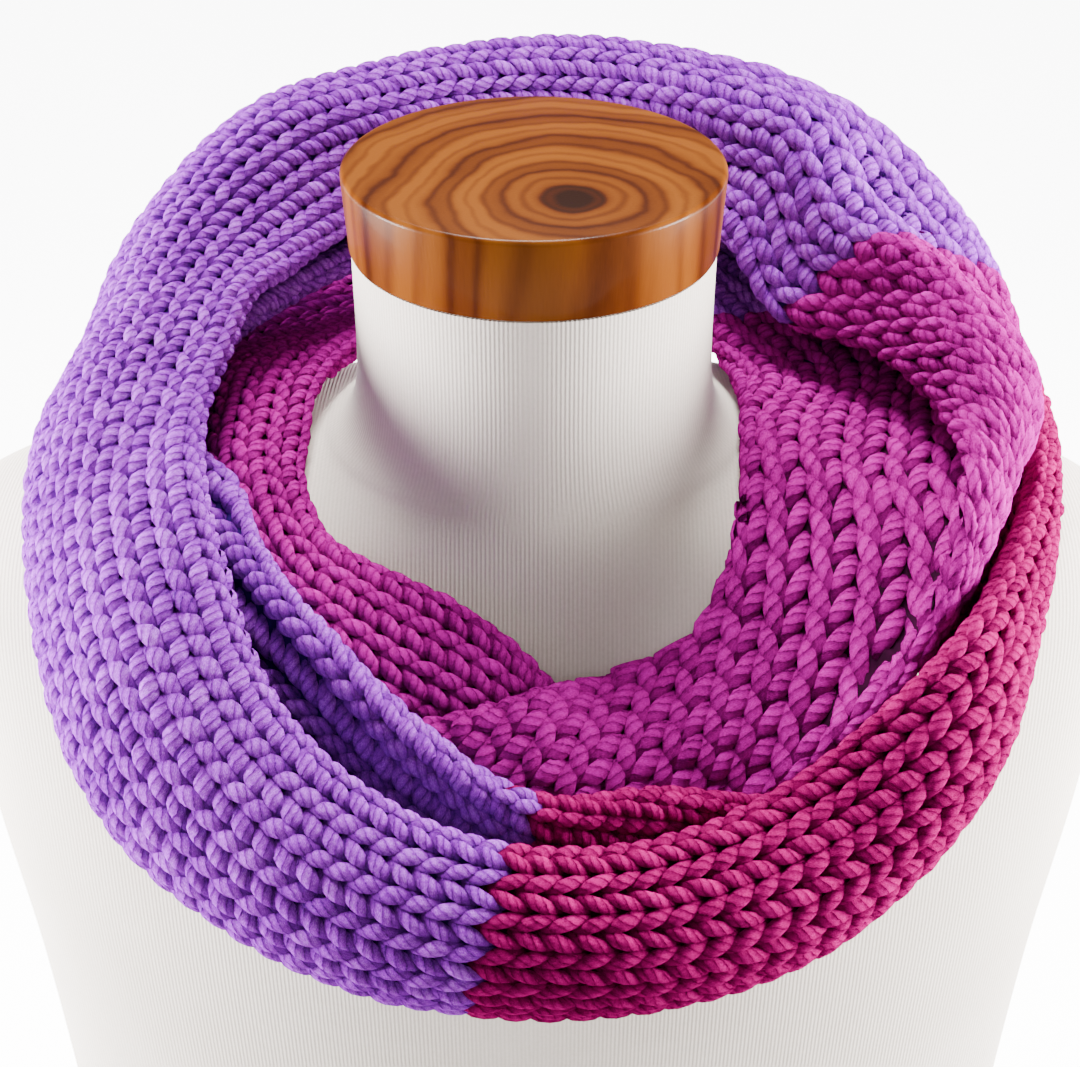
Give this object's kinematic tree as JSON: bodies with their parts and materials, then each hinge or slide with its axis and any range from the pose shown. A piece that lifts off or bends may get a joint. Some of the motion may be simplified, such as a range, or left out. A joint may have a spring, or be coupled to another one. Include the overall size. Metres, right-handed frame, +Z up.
{
  "type": "infinity scarf on a limbless dress form",
  "caption": "Chunky colour-blocked knit infinity scarf, worn doubled on a limbless jersey dress form with a round wooden neck cap.",
  "frame": {"origin": "centre of the dress form's flat base, on the neck's axis", "axes": "+Z up along the neck, -Y towards the front of the form, +X towards the right of a person who faces it"},
  "size_m": [0.41, 0.3058, 0.4355],
  "materials": {
    "cream_jersey": "fine ribbed cream jersey",
    "amber_wood": "glossy amber varnish on end grain",
    "purple_knit": "chunky two-ply stocking stitch",
    "magenta_knit": "chunky two-ply stocking stitch",
    "raspberry_knit": "chunky two-ply stocking stitch"
  },
  "bodies": {
    "root": {"form_torso": "cream_jersey", "form_neck_cap": "amber_wood", "scarf_purple": "purple_knit", "scarf_magenta_outer": "magenta_knit", "scarf_magenta_inner": "magenta_knit", "scarf_raspberry": "raspberry_knit"}
  },
  "joints": []
}
